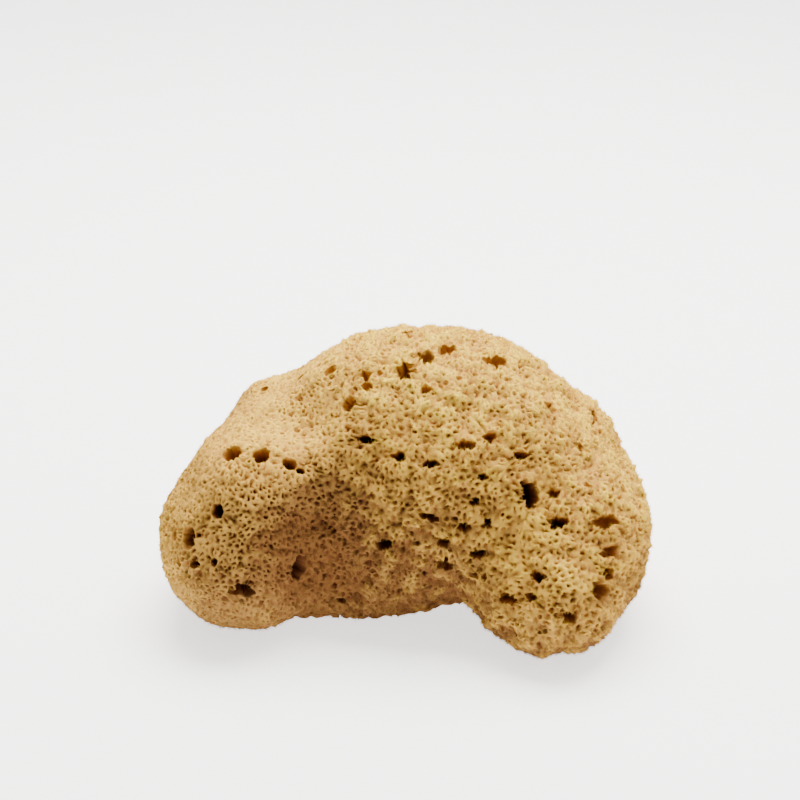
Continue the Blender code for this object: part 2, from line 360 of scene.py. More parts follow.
@dataclass
class SpongeForm:
    """The smooth outer form: lobes that melt into each other, with low lumps. As in the solid's design."""

    lobes: dict[str, tuple[Triple, Triple]] = field(default_factory=lambda: {
        "body": ((4, 7, 27), (37, 31, 27)),
        "base": ((2, 9, 9), (42, 21, 17)),
        "crown": ((4, 8, 42), (28.5, 22, 18.5)),
        "crown_right": ((22, 5, 36.5), (17, 22, 18.5)),
        "front": ((12, -9, 32), (28, 18, 18)),
        "left_shoulder": ((-28, 8, 28), (18, 20, 17)),
        "left_corner": ((-30.5, 15, 38), (7, 8, 5)),
        "left_lobe": ((-39.5, -13.3, 17.8), (19, 22.3, 20)),
        "left_brow": ((-35, -12, 33), (12, 16, 12.5)),
        "middle_bulge": ((-3, -10.5, 19.5), (14, 14, 16.5)),
        "middle_foot": ((-15, -9.5, 5), (17, 12.3, 8)),
        "right_side": ((36.2, 0.5, 22), (18.8, 23, 20)),
        "right_corner": ((41, 8, 36.5), (6, 8, 4.5)),
        "right_front": ((40, -15, 20), (18, 19, 17)),
        "right_hollow": ((21, -12, 21), (16.5, 13.3, 14)),
        "right_foot": ((34.2, -26.2, 13.5), (15.6, 18.3, 14.5)),
    })
    lobe_power: float = 2.2
    blend: float = 8.0
    lump_height: float = 0.55
    lump_lengths: Pair = (11.0, 26.0)
    lump_waves: int = 14
    grid_level: int = 5
    start_radii: Triple = (78.0, 64.0, 56.0)
    shift: Array = field(default_factory=lambda: np.zeros(3))

    def __post_init__(self) -> None:
        """Draws the waves of the lumps."""
        self.waves = Waves(self.lump_waves, self.lump_lengths, np.random.default_rng(SEED))

    def _lobe_gap(self, points: Array, centre: Triple, radii: Triple) -> Array:
        """About how far points lie outside one lobe, a superellipsoid.

        Args:
            points: the points, without the form's shift.
            centre: the lobe's middle.
            radii: its radii.

        Returns:
            The distances.
        """
        offset = np.abs(points - np.array(centre, float)) / np.array(radii, float)
        reach = np.maximum((offset**self.lobe_power).sum(1) ** (1 / self.lobe_power), TINY)
        steepness = np.linalg.norm(offset ** (self.lobe_power - 1) / np.array(radii, float), axis=1)
        return (reach - 1) / np.maximum(steepness * reach ** (1 - self.lobe_power), TINY)

    def gap(self, places: Array) -> Array:
        """About how far places are outside the form, in millimetres.

        Args:
            places: the places.

        Returns:
            The distances, under 0 inside.
        """
        points = places - self.shift
        melted = sum(np.exp(-2 * self._lobe_gap(points, *lobe) / self.blend) for lobe in self.lobes.values())
        lumps = self.waves.sum_at(points) * self.lump_height
        return -np.log(melted) * self.blend / 2 - lumps / math.sqrt(self.lump_waves)

    def way_out(self, places: Array, step: float = 0.1) -> tuple[Array, Array]:
        """The direction away from the form at each place, and how fast gap() grows along it.

        Args:
            places: the places.
            step: how far to each side gap() is measured.

        Returns:
            The directions, and the steepness.
        """
        rises = [self.gap(places + step * axis) - self.gap(places - step * axis) for axis in np.eye(3)]
        slope = np.stack(rises, 1) / (2 * step)
        steepness = np.maximum(np.linalg.norm(slope, axis=1, keepdims=True), TINY)
        return slope / steepness, steepness[:, 0]

    def on_skin(self, places: Array, rounds: int = 4) -> Array:
        """Places moved onto the form.

        Args:
            places: the places.
            rounds: how often they are moved.

        Returns:
            The places on the form.
        """
        for _ in range(rounds):
            way, steepness = self.way_out(places)
            places = places - way * (self.gap(places) / steepness)[:, None]
        return places

    def lay_over(self, corners: Array, nearby: float = 2.0, rounds: int = 12) -> None:
        """Shifts the form sideways to where the solid has it.

        Args:
            corners: the solid's vertices.
            nearby: how far off the form a vertex may be to count as one of the skin's.
            rounds: how often the shift is corrected.
        """
        side = corners[corners[:, 2] > nearby]
        for _ in range(rounds):
            gap = self.gap(side)
            skin = np.abs(gap - np.median(gap)) < nearby
            way, _ = self.way_out(side[skin])
            step, *_ = np.linalg.lstsq(way[:, :2], gap[skin], rcond=None)
            self.shift[:2] += step

    def drawn_tight(self, rounds: int = 80, last_rounds: int = 4, longest_step: float = 2.5,
                    evening: float = 0.9) -> tuple[Array, Array, Array]:
        """An even net of triangles on the form.

        Args:
            rounds: how often the net is drawn in and evened out.
            last_rounds: how many of them, at the end, only draw it in.
            longest_step: the most that a vertex moves towards the form in one round.
            evening: how much of the way to its neighbours' middle a vertex goes in one round.

        Returns:
            The net's vertices on the form, the same vertices on a unit sphere, and the triangles.
        """
        net = bmesh.new()
        bmesh.ops.create_icosphere(net, subdivisions=self.grid_level, radius=1.0)
        net.verts.index_update()
        rings = [[edge.other_vert(vert).index for edge in vert.link_edges] for vert in net.verts]
        neighbours = np.array([(ring + ring[:1])[:6] for ring in rings])  # each has five or six
        sphere = np.array([vert.co for vert in net.verts])
        sphere /= np.linalg.norm(sphere, axis=1, keepdims=True)
        triangles = np.array([[vert.index for vert in face.verts] for face in net.faces])
        net.free()
        places = sphere * self.start_radii + np.array(self.lobes["body"][0], float) + self.shift
        for count in range(rounds):
            way, steepness = self.way_out(places)
            step = np.clip(self.gap(places) / steepness, -longest_step, longest_step)
            places = places - way * step[:, None]
            if count < rounds - last_rounds:
                pull = places[neighbours].mean(1) - places
                pull -= way * (pull * way).sum(1, keepdims=True)
                places = places + evening * pull
        return places, sphere, triangles


@dataclass
class Canal:
    """One canal of the solid: its mouth's middle, its axes, its outline by bearing, and its depth."""

    place: Array
    out: Array
    side: Array
    up: Array
    bearings: Array
    radii: Array
    deep: float

    def seen_from(self, places: Array) -> tuple[Array, Array, Array]:
        """Places as the canal sees them: distance from its axis, bearing, and height over its mouth.

        Args:
            places: the places.

        Returns:
            The distances, the bearings and the heights.
        """
        offset = places - self.place
        across, along = offset @ self.side, offset @ self.up
        return np.hypot(across, along), np.arctan2(along, across), offset @ self.out

    def reach(self, bearings: Array) -> Array:
        """The mouth's radius at each bearing."""
        return np.interp(bearings, self.bearings, self.radii, period=2 * math.pi)

    def rim_at(self, bearings: Array) -> Array:
        """Points of the mouth's outline."""
        across, along = np.cos(bearings)[:, None], np.sin(bearings)[:, None]
        return self.place + self.reach(bearings)[:, None] * (across * self.side + along * self.up)


class CanalSurvey:
    """Reads the canals off the solid."""

    def __init__(self, form: SpongeForm, corners: Array, edges: Array, floor_depth: float = 1.5) -> None:
        """Keeps the solid.

        Args:
            form: the form that the canals are sunk in.
            corners: the solid's vertices.
            edges: its edges, as pairs of vertices.
            floor_depth: vertices that are deeper in the form than this are on a canal's floor.
        """
        self.corners = corners
        self.edges = edges
        self.deep = np.minimum(-form.gap(corners), corners[:, 2]) > floor_depth

    def canals(self) -> list[Canal]:
        """Every canal of the solid.

        Returns:
            The canals, by the order of the solid's vertices.
        """
        neighbours: dict[int, set[int]] = {}
        for first, second in self.edges:
            neighbours.setdefault(first, set()).add(second)
            neighbours.setdefault(second, set()).add(first)
        seen: set[int] = set()
        found = []
        for start in np.nonzero(self.deep)[0]:
            if start in seen:
                continue
            floor, rim, front = set(), set(), [start]
            while front:
                corner = front.pop()
                if corner in floor:
                    continue
                floor.add(corner)
                for other in neighbours[corner]:
                    (front.append if self.deep[other] else rim.add)(other)
            seen |= floor
            if len(rim) > 2:
                found.append(self._canal(self.corners[sorted(floor)], self.corners[sorted(rim)]))
        return found

    @staticmethod
    def _canal(floor: Array, rim: Array) -> Canal:
        """The canal between a floor and a rim.

        Args:
            floor: the vertices of its floor.
            rim: the vertices round its mouth.

        Returns:
            The canal.
        """
        place = rim.mean(0)
        out = place - floor.mean(0)
        deep = np.linalg.norm(out)
        out = out / deep
        side = np.cross([0.0, 0.0, 1.0] if abs(out[2]) < UPRIGHT else [0.0, 1.0, 0.0], out)
        side /= np.linalg.norm(side)
        up = np.cross(out, side)
        across, along = (rim - place) @ side, (rim - place) @ up
        bearings = np.arctan2(along, across)
        order = np.argsort(bearings)
        return Canal(place, out, side, up, bearings[order], np.hypot(across, along)[order], deep)


@dataclass
class PoreCells:
    """The honeycomb of the skin: cells for the pores, some of them grown together, and one for each mouth."""

    form: SpongeForm
    canals: list[Canal]
    spacing: float = 1.04  # the least distance between two pores
    coarser: float = 0.13  # how much wider they stand at the right end than in the middle
    base_spacing: float = 1.8  # the least distance on the face that the sponge was cut along
    candidates: int = 200_000
    belt: float = 0.55  # the pores round a mouth stand at least this far from its rim
    seed_inset: float = 0.45  # the seeds of a mouth's cell stand this far inside its rim
    seed_spacing: float = 0.85
    least_inside: float = 0.3  # or this far from its middle, if it is small
    mouth_slack: Pair = (2.0, 1.0)  # how far off its plane a mouth reaches: radii, and millimetres
    cut_face: float = 0.01  # what is no higher than this is on that face
    sharp_share: float = 0.35  # the share of pores whose walls start right at the ridge
    grown_pairs: float = 0.15
    grown_triples: float = 0.05
    seat: float = 0.40  # the skin lies this far inside the form, which leaves room for the fibres
    depths: Pair = (0.8, 1.6)  # of a pore that is half open
    openings: Pair = (0.55, 0.15)  # a pore's mean share of its cell, and the spread
    open_range: Pair = (0.22, 0.86)
    mouth_opening: float = 0.97
    patch_waves: tuple[Triple, ...] = ((0.21, 0.13, 0.17), (-0.11, 0.23, 0.09), (0.05, -0.17, 0.26))
    open_patches: float = 0.06  # how much wider open the pores are in some patches
    shut_above: float = 0.12  # how much less where the skin faces up
    shut_in_clumps: float = 0.14
    tuft_share: float = 0.38
    tuft_sizes: Pair = (0.3, 1.0)
    tuft_rise: float = 0.62
    ridge_wave: float = 0.16
    clump_rise: float = 0.38
    clump_lengths: Pair = (3.0, 7.5)
    clump_waves: int = 24
    rim_rise: float = 0.7
    rim_sizes: Pair = (-0.35, 1.0)
    rim_wander: float = 0.19
    worn_left_of: float = -34.0  # left of this the skin is worn smooth
    shaggy_over: float = 26.0  # and it takes this long to become as shaggy as the rest
    least_shag: float = 0.36
    plain_bleach: float = 0.20
    sun_bleach_and_top_light: float = 0.57  # what facing up adds: partly sun bleaching, partly painted light on the top
    bleach_and_light_slope: Triple = (0.0020, 0.0, 0.0060)  # and each millimetre to the right and up, partly bleaching, partly painted light
    bleach_and_light_range: Pair = (-0.35, 1.0)
    patches: tuple[tuple[Triple, float, float], ...] = (  # middle, reach, how brown, or under 0 how pale: painted shade in the valley and on the left lobe's front, painted light along the left and right edges and low on the front
        ((-20, -21, 25), 15.0, 0.85),
        ((-38, -34, 24), 16.0, 0.14),
        ((-57, -20, 14), 15.0, -0.90),
        ((-36, -34, 3), 12.0, -0.48),
        ((34, -40, 8), 15.0, -0.34),
        ((58, -8, 22), 17.0, -0.36),
    )

    def _scatter(self) -> None:
        """Scatters candidates for pores evenly over the form, and keeps where each is on the unit sphere."""
        net, sphere, triangles = self.form.drawn_tight()
        corners = net[triangles]
        first, second = corners[:, 1] - corners[:, 0], corners[:, 2] - corners[:, 0]
        areas = np.linalg.norm(np.cross(first, second), axis=1)
        rng = np.random.default_rng(SEED)
        picked = triangles[rng.choice(len(triangles), self.candidates, p=areas / areas.sum())]
        weights = rng.dirichlet((1, 1, 1), self.candidates)[..., None]
        self.scattered = (net[picked] * weights).sum(1)
        self.scattered[:, 2] = np.maximum(self.scattered[:, 2], 0.0)
        self.on_sphere = (sphere[picked] * weights).sum(1)

    def _thinned(self, numbers: Array, spacing: Array) -> Array:
        """Those of some candidates that are left when none stands nearer to another than its spacing.

        Args:
            numbers: the candidates' numbers.
            spacing: each one's least distance to the next.

        Returns:
            The numbers of those that are left.
        """
        places = self.scattered[numbers]
        tree = KDTree(len(places))
        for index, place in enumerate(places):
            tree.insert(place, index)
        tree.balance()
        free = np.ones(len(places), bool)
        chosen = []
        for index, (place, apart) in enumerate(zip(places, spacing)):
            if free[index]:
                chosen.append(index)
                free[[other for _, other, _ in tree.find_range(place, apart)]] = False
        return numbers[chosen]

    def _settled(self, places: Array) -> Array:
        """Places moved onto the form, or straight up onto the cut face if they are under it.

        Args:
            places: the places.

        Returns:
            Where they settle.
        """
        settled = np.where(places[:, 2:] > 0, self.form.on_skin(places), places)
        settled[:, 2] = np.maximum(settled[:, 2], 0.0)
        return settled

    def _chosen(self) -> tuple[Array, Array]:
        """Chooses the candidates that the cells stand round.

        Returns:
            Their numbers, and the number of the canal whose mouth each is in, or -1 for a pore.
        """
        clear = np.ones(self.candidates, bool)
        numbers, owners = [], []
        for index, canal in enumerate(self.canals):
            distance, bearing, height = canal.seen_from(self.scattered)
            reach = canal.reach(bearing)
            level = np.abs(height) < self.mouth_slack[0] * reach + self.mouth_slack[1]
            clear &= (distance > reach + self.belt) | ~level
            inner = np.nonzero((distance < np.maximum(reach - self.seed_inset, self.least_inside)) & level)[0]
            inner = inner[np.argsort(distance[inner])]
            numbers.append(self._thinned(inner, np.full(len(inner), self.seed_spacing)))
            owners.append(np.full(len(numbers[-1]), index))
        free = np.nonzero(clear)[0]
        across = self.scattered[free, 0] / np.abs(self.scattered[:, 0]).max()
        uneven = self.spacing * (1 + self.coarser * across)
        spacing = np.where(self.scattered[free, 2] > 0, uneven, self.base_spacing)
        numbers.append(self._thinned(free, spacing))
        owners.append(np.full(len(numbers[-1]), -1))
        return np.concatenate(numbers), np.concatenate(owners)

    @staticmethod
    def _triangles(sphere: Array) -> list[tuple[int, int, int]]:
        """The Delaunay triangles of points on a unit sphere, by projection from the lowest of them.

        Args:
            sphere: the points.

        Returns:
            The triangles, as numbers of points.
        """
        sphere = sphere / np.linalg.norm(sphere, axis=1, keepdims=True)
        pole = int(sphere[:, 2].argmin())
        down = sphere[pole]
        side = np.cross(down, [0.0, 1.0, 0.0])
        side /= np.linalg.norm(side)
        along = np.cross(down, side)
        others = np.array([i for i in range(len(sphere)) if i != pole])
        stretch = 1 / np.maximum(1 - sphere[others] @ down, TINY)
        flat = np.stack([sphere[others] @ side, sphere[others] @ along], 1) * stretch[:, None]
        points = [Vector(point) for point in flat]
        faces = [tuple(others[list(face)]) for face in delaunay_2d_cdt(points, [], [], 0, TINY, False)[2]]
        edges = {(face[i], face[(i + 1) % 3]) for face in faces for i in range(3)}
        rim = [(second, first) for first, second in edges if (second, first) not in edges]
        return faces + [(first, second, pole) for first, second in rim]

    def _net(self, places: Array, sphere: Array) -> tuple[Array, list[list[int]]]:
        """The triangles between places, and the ring of triangles round each place.

        Args:
            places: the places.
            sphere: the same places on the unit sphere.

        Returns:
            The triangles, and the rings.
        """
        net = bmesh.new()
        for place in places:
            net.verts.new(place)
        net.verts.ensure_lookup_table()
        for face in self._triangles(sphere):
            net.faces.new([net.verts[i] for i in face])
        bmesh.ops.beautify_fill(net, faces=net.faces[:], edges=net.edges[:], method="ANGLE")
        bmesh.ops.recalc_face_normals(net, faces=net.faces[:])
        net.faces.index_update()
        net.verts.index_update()
        triangles = np.array([[vert.index for vert in face.verts] for face in net.faces])
        rings = [self._ring(vert) for vert in net.verts]
        net.free()
        return triangles, rings

    @staticmethod
    def _ring(vert: bmesh.types.BMVert) -> list[int]:
        """The faces round a vertex, in order, so that they make a face that points outwards.

        Args:
            vert: the vertex.

        Returns:
            The faces' numbers.
        """
        start = vert.link_loops[0]
        loop, ring = start, []
        while True:
            ring.append(loop.face.index)
            loop = loop.link_loop_prev.link_loop_radial_next
            if loop == start:
                return ring

    @staticmethod
    def _outline(rings: list[list[int]]) -> list[int]:
        """The outline of cells that touch each other.

        Args:
            rings: the ring of triangles round each cell's place.

        Returns:
            The triangles along the outline, in order.
        """
        ways = {way for ring in rings for way in zip(ring, ring[1:] + ring[:1])}
        after = {first: second for first, second in sorted(ways) if (second, first) not in ways}
        start = min(after)
        outline = [start]
        while after[outline[-1]] != start:
            outline.append(after[outline[-1]])
        return outline

    def _groups(self, triangles: Array, owner: Array, rng: np.random.Generator) -> list[list[int]]:
        """Which places share a cell: the seeds of a mouth, and the pores that have grown together.

        Args:
            triangles: the triangles between the places.
            owner: the canal of each place, or -1 for a pore.
            rng: the random numbers.

        Returns:
            The places of each cell, those of the mouths first.
        """
        pores = np.nonzero(owner < 0)[0]
        taken = owner >= 0
        groups = [list(np.nonzero(owner == index)[0]) for index in range(len(self.canals))]
        for size, share in ((3, self.grown_triples), (2, self.grown_pairs)):
            wanted = int(share * len(pores))
            for triangle in triangles[rng.permutation(len(triangles))]:
                members = list(triangle[:size])
                if wanted and not taken[members].any():
                    taken[members] = True
                    groups.append(members)
                    wanted -= 1
        return groups + [[index] for index in np.nonzero(~taken)[0]]

    def _clumps(self, places: Array, rng: np.random.Generator) -> Array:
        """Waves of a few millimetres, from -1 to 1, that gather the ridges into clumps."""
        waves = Waves(self.clump_waves, self.clump_lengths, rng)
        return np.clip(waves.sum_at(places) / math.sqrt(self.clump_waves), -1, 1)

    def build(self) -> Mesh:
        """Makes the cells.

        Returns:
            A closed mesh with one face a cell, with what the skin and its colours need to know of each.
        """
        rng = np.random.default_rng(SEED + 1)
        self._scatter()
        chosen, owner = self._chosen()
        places = self.scattered[chosen]
        triangles, rings = self._net(places, self.on_sphere[chosen])
        groups = self._groups(triangles, owner, rng)
        middles = np.array([places[group].mean(0) for group in groups])

        corners = self._settled(places[triangles].mean(1))
        way, _ = self.form.way_out(corners)
        rimmed = np.zeros(len(corners), bool)
        for index, canal in enumerate(self.canals):
            near = (owner[triangles] == index).any(1)
            _, bearing, height = canal.seen_from(corners[near])
            rim = canal.rim_at(bearing) + height[:, None] * canal.out
            wander = 1 + rng.normal(0, self.rim_wander, near.sum()) * self._shag(corners[near])
            corners[near] = canal.place + (rim - canal.place) * wander[:, None]
            rimmed |= near
        corners[rimmed] = self._settled(corners[rimmed])
        clump, thick = np.split(self._clumps(np.concatenate([corners, middles]), rng), [len(corners)])
        shag = self._shag(corners)
        tufted = rng.random(len(corners)) < self.tuft_share
        tuft = np.where(tufted, rng.uniform(*self.tuft_sizes, len(corners)), 0.0) * shag
        rise = tuft * self.tuft_rise + rng.uniform(-self.ridge_wave, self.ridge_wave, len(corners))
        rise += clump * self.clump_rise * shag
        rise[rimmed] = rng.uniform(*self.rim_sizes, rimmed.sum()) * self.rim_rise * shag[rimmed]
        corners += way * (rise - self.seat)[:, None] * (corners[:, 2:] > self.cut_face)
        corners[:, 2] = np.maximum(corners[:, 2], 0.0)

        outlines = [self._outline([rings[i] for i in group]) for group in groups]
        used = np.unique(np.concatenate([np.array(outline) for outline in outlines]))
        renumbered = np.full(len(corners), -1)
        renumbered[used] = np.arange(len(used))
        mesh = bpy.data.meshes.new("cells")
        faces = [renumbered[outline].tolist() for outline in outlines]
        mesh.from_pydata((corners[used] * MM).tolist(), [], faces)
        mesh.update()
        bleach = self._bleach_and_light(corners, way)
        marks = {"bleach": bleach, "tuft": tuft, "rim": rimmed, "clump": clump * shag, "shag": shag}
        for name, values in marks.items():
            self._mark(mesh, name, Holder.CORNER, values[used])
        thick = thick * self._shag(middles)
        self._label(mesh, middles, np.array([owner[group[0]] for group in groups]), thick, rng)
        return mesh

    def _shag(self, places: Array) -> Array:
        """How shaggy the skin is, from a little where it is worn smooth to 1."""
        along = places[:, 0] - self.form.shift[0] - self.worn_left_of
        return np.clip(along / self.shaggy_over, self.least_shag, 1)

    def _bleach_and_light(self, places: Array, way: Array) -> Array:
        """How bleached the skin is, with painted light and shade, up to 1: most on top, and under 0 where
        shade is painted.

        Args:
            places: places on the skin.
            way: the direction that the skin faces there.

        Returns:
            How bleached each place is.
        """
        # facing up and lying high or to the right make the skin paler: partly sun bleaching, partly painted
        # light
        bleach = self.plain_bleach + self.sun_bleach_and_top_light * way[:, 2] + places @ self.bleach_and_light_slope
        # each patch paints shade, which browns the skin, or, under 0, light, which pales it
        for middle, reach, amount in self.patches:
            away = np.linalg.norm(places - np.array(middle, float) - self.form.shift, axis=1) / reach
            bleach -= amount * np.exp(-(away**2))
        return np.clip(bleach, *self.bleach_and_light_range)

    def _folded(self, mesh: Mesh, middles: Array) -> Array:
        """Which cells are folded over, so that they face inwards.

        Args:
            mesh: the cells.
            middles: their middles.

        Returns:
            For each cell, whether it is folded.
        """
        normals = np.array([face.normal for face in mesh.polygons])
        way, _ = self.form.way_out(middles)
        way[middles[:, 2] <= self.cut_face] = (0.0, 0.0, -1.0)
        return (normals * way).sum(1) < 0

    @staticmethod
    def _mark(mesh: Mesh, name: str, holder: Holder, values: Array) -> None:
        """Stores numbers on a mesh."""
        numbers = mesh.attributes.new(name, "FLOAT", holder.value)
        numbers.data.foreach_set("value", values.astype(np.float32))

    def _label(self, mesh: Mesh, middles: Array, owner: Array, thick: Array,
               rng: np.random.Generator) -> None:
        """Stores on each cell how open and deep it is, how deep its canal is, and if it has no ring.

        Args:
            mesh: the cells.
            middles: their middles.
            owner: the number of each cell's canal, or -1 for a pore.
            thick: how far each cell is in a clump, from -1 to 1.
            rng: the random numbers.
        """
        total = len(middles)
        way, _ = self.form.way_out(middles)
        patch = np.sin(middles @ np.array(self.patch_waves).T).mean(1)
        opening = rng.normal(*self.openings, total) + self.open_patches * patch
        opening -= self.shut_above * np.clip(way[:, 2], 0, 1) ** 2 + self.shut_in_clumps * thick
        opening = np.clip(opening, *self.open_range)
        depth = rng.uniform(*self.depths, total) * (0.5 + opening)
        mouth = np.zeros(total)
        is_mouth = owner >= 0
        mouth[is_mouth] = [self.canals[index].deep for index in owner[is_mouth]]
        opening[is_mouth] = self.mouth_opening
        sharp = (rng.random(total) < self.sharp_share) & ~is_mouth & (middles[:, 2] > self.cut_face)
        folded = self._folded(mesh, middles)
        sharp |= folded
        depth[folded] = 0.0
        for name, values in {"opening": opening, "depth": depth, "canal": mouth, "sharp": sharp}.items():
            self._mark(mesh, name, Holder.CELL, values)


@dataclass
class PittedSkin:
    """The sponge's skin, with a pit sunk in every cell and a canal under every mouth."""

    rim_drop: float = 0.10
    jitter: float = 0.16
    canal_steps: tuple[Pair, ...] = (  # share of the depth, and of the last step's width
        (0.05, 0.96), (0.10, 1.0), (0.20, 0.97), (0.30, 0.9), (0.35, 0.7),
    )
    ragged: Pair = (-0.06, 0.04)  # how much each width varies
    # the pit marks darken the colour with depth: partly the browner spongin inside, partly painted shade
    ridge_mark: float = 0.0
    ring_mark: float = 0.3
    canal_marks: Pair = (0.44, 0.11)  # the mark at a mouth, and what each millimetre down adds
    pore_marks: Pair = (0.52, 0.27)  # the same at a pore
    roughness: float = 0.80  # the noise moves the skin by up to half of this each way
    rough_scale: float = 1300.0

    @staticmethod
    def _step(shape: GrownShape, mesh: Signal, chosen: Signal, drop: Signal, width: Signal | float,
              pit: Signal | float, salt: int) -> tuple[Signal, Signal]:
        """Sinks the chosen faces one step.

        Args:
            shape: the tree.
            mesh: the mesh so far.
            chosen: the faces to sink.
            drop: how far, in metres.
            width: their new width as a share of the old.
            pit: the mark that the new vertices get, the higher the deeper they are.
            salt: keeps this step's random numbers apart from the others'.

        Returns:
            The mesh, and the faces that were sunk.
        """
        graph = shape.graph
        extrude = graph.node(
            "GeometryNodeExtrudeMesh",
            {"mode": "FACES"},
            {"Mesh": mesh, "Selection": chosen, "Offset Scale": drop * -1.0, "Individual": True},
        )
        top = graph.pick(extrude, "Top")
        here = graph.out("GeometryNodeInputPosition")
        shake = shape.random((-1, -1, -1), (1, 1, 1), salt)
        nudge = shape.vector("SCALE", shake, shape.given("Jitter"))
        scaled = graph.out(
            "GeometryNodeScaleElements",
            {"domain": "FACE"},
            {"Geometry": graph.pick(extrude, "Mesh"), "Selection": top, "Scale": width,
             "Center": shape.vector("ADD", here, nudge)},
        )
        return shape.stored(scaled, "pit", pit, top), top

    def build(self, cells: Mesh, material: Material) -> Object:
        """Makes the skin.

        Args:
            cells: the honeycomb.
            material: the skin's finish.

        Returns:
            The skin, a closed mesh.
        """
        piece = new_piece("sponge_skin", cells)
        shape = GrownShape("sunk_pores", {"Rim drop": self.rim_drop * MM, "Jitter": self.jitter * MM,
                                          "Roughness": self.roughness * MM, "Seed": SEED})
        graph = shape.graph
        names = ("opening", "depth", "canal", "sharp")
        opening, depth, canal, sharp = (shape.attribute(name) for name in names)
        is_canal = canal.with_("GREATER_THAN", 0.0)
        ringed = sharp.with_("LESS_THAN", 0.5)
        mesh = shape.stored(shape.given("Geometry"), "pit", self.ridge_mark)
        mesh, top = self._step(shape, mesh, ringed, shape.given("Rim drop"), opening, self.ring_mark, 1)
        open_cell = shape.logic("OR", top, shape.logic("NIMPLY", True, ringed))
        plain = shape.logic("NIMPLY", open_cell, is_canal)
        hollow = shape.logic("AND", top, is_canal)
        floor = depth * self.pore_marks[1] + self.pore_marks[0]
        mesh, _ = self._step(shape, mesh, plain, depth * MM, 0.0, floor, 2)
        sunk = 0.0
        for salt, (share, narrow) in enumerate(self.canal_steps, 3):
            sunk += share
            width = shape.random(narrow + self.ragged[0], narrow + self.ragged[1], salt + WIDTH_SALT)
            mark = canal * (sunk * self.canal_marks[1]) + self.canal_marks[0]
            mesh, hollow = self._step(shape, mesh, hollow, canal * (share * MM), width, mark, salt)
        merged = graph.out("GeometryNodeMergeByDistance", None, {"Geometry": mesh, "Distance": WELD})
        noise = graph.out("ShaderNodeTexNoise", None, {"Scale": self.rough_scale, "Detail": 1.0}, "Color")
        shove = shape.vector("SUBTRACT", noise, (0.5, 0.5, 0.5))
        uneven = shape.over_floor(shape.moved(merged, shape.vector("SCALE", shove, shape.given("Roughness"))))
        smooth = graph.out("GeometryNodeSetShadeSmooth", None, {"Geometry": uneven, "Shade Smooth": True})
        return shape.applied(piece, smooth, material)


@dataclass(frozen=True)
class Nap:
    """Fine fibres that stand on the ridges between the pores."""

    name: str
    seed: int
    density: float  # fibres on a square millimetre of ridge
    length: Pair
    radius: float
    lean: float
    segments: int = 1
    bow: float = 0.0  # how far a fibre's tip bends to one side
    sides: int = 3
    on_tufts: float = 3.5  # how many times denser they stand on a tuft
    on_rims: float = 1.5  # and on a mouth's rim
    on_hem: float = 0.0  # and along the bottom edge
    hem: float = 3.5
    deepest: float = 0.35  # the greatest pit mark at which they grow
    clear_of_floor: float = 0.5

    def build(self, skin: Object, material: Material) -> Object:
        """Grows the fibres.

        Args:
            skin: the skin they stand on.
            material: their finish.

        Returns:
            The fibres, as one mesh.
        """
        piece = new_piece(self.name, skin.data.copy())
        sizes = {"Density": self.density / MM**2, "Shortest": self.length[0], "Longest": self.length[1],
                 "Radius": self.radius * MM, "Lean": self.lean, "Seed": self.seed}
        shape = GrownShape(self.name, sizes)
        graph = shape.graph
        height = shape.height()
        here = shape.attribute("tuft") * self.on_tufts + shape.attribute("rim") * self.on_rims + 1.0
        here = here * shape.attribute("pit").with_("LESS_THAN", self.deepest)
        here = here * shape.attribute("shag") + height.with_("LESS_THAN", self.hem * MM) * self.on_hem
        here = here * height.with_("GREATER_THAN", self.clear_of_floor * MM)
        scatter = graph.node(
            "GeometryNodeDistributePointsOnFaces",
            {"distribute_method": "RANDOM"},
            {"Mesh": shape.given("Geometry"), "Density": here * shape.given("Density"),
             "Seed": shape.given("Seed")},
        )
        fibre = graph.out(
            "GeometryNodeMeshCone",
            {"fill_type": "NGON"},
            {"Vertices": self.sides, "Side Segments": self.segments, "Radius Top": 0.0,
             "Radius Bottom": shape.given("Radius"), "Depth": MM},
        )
        if self.bow:
            fibre = shape.moved(fibre, shape.parts(X=height * height * (self.bow / MM)))
        turn = shape.random((-1, -1, -math.pi), (1, 1, math.pi), 1)
        spread = shape.parts(X=shape.given("Lean"), Y=shape.given("Lean"), Z=1.0)
        tilt = graph.out("FunctionNodeEulerToRotation", None, {0: shape.vector("MULTIPLY", turn, spread)})
        rotation = graph.out(
            "FunctionNodeRotateRotation",
            {"rotation_space": "LOCAL"},
            {"Rotation": graph.pick(scatter, "Rotation"), "Rotate By": tilt},
        )
        length = shape.random(shape.given("Shortest"), shape.given("Longest"), 2)
        placed = graph.out(
            "GeometryNodeInstanceOnPoints",
            None,
            {"Points": graph.pick(scatter, "Points"), "Instance": fibre, "Rotation": rotation,
             "Scale": shape.parts(X=1.0, Y=1.0, Z=length)},
        )
        real = graph.out("GeometryNodeRealizeInstances", None, {"Geometry": placed})
        return shape.applied(piece, shape.over_floor(real), material)


@dataclass(frozen=True)
class Mottle:
    """A noise over the skin, the part of its range that counts, and its share in the stain."""

    scale: float
    detail: float
    low: float
    high: float
    share: float

    def stain(self, noise: Signal) -> Signal:
        """What the noise adds to the stain."""
        return noise.spread(self.low, self.high) * self.share


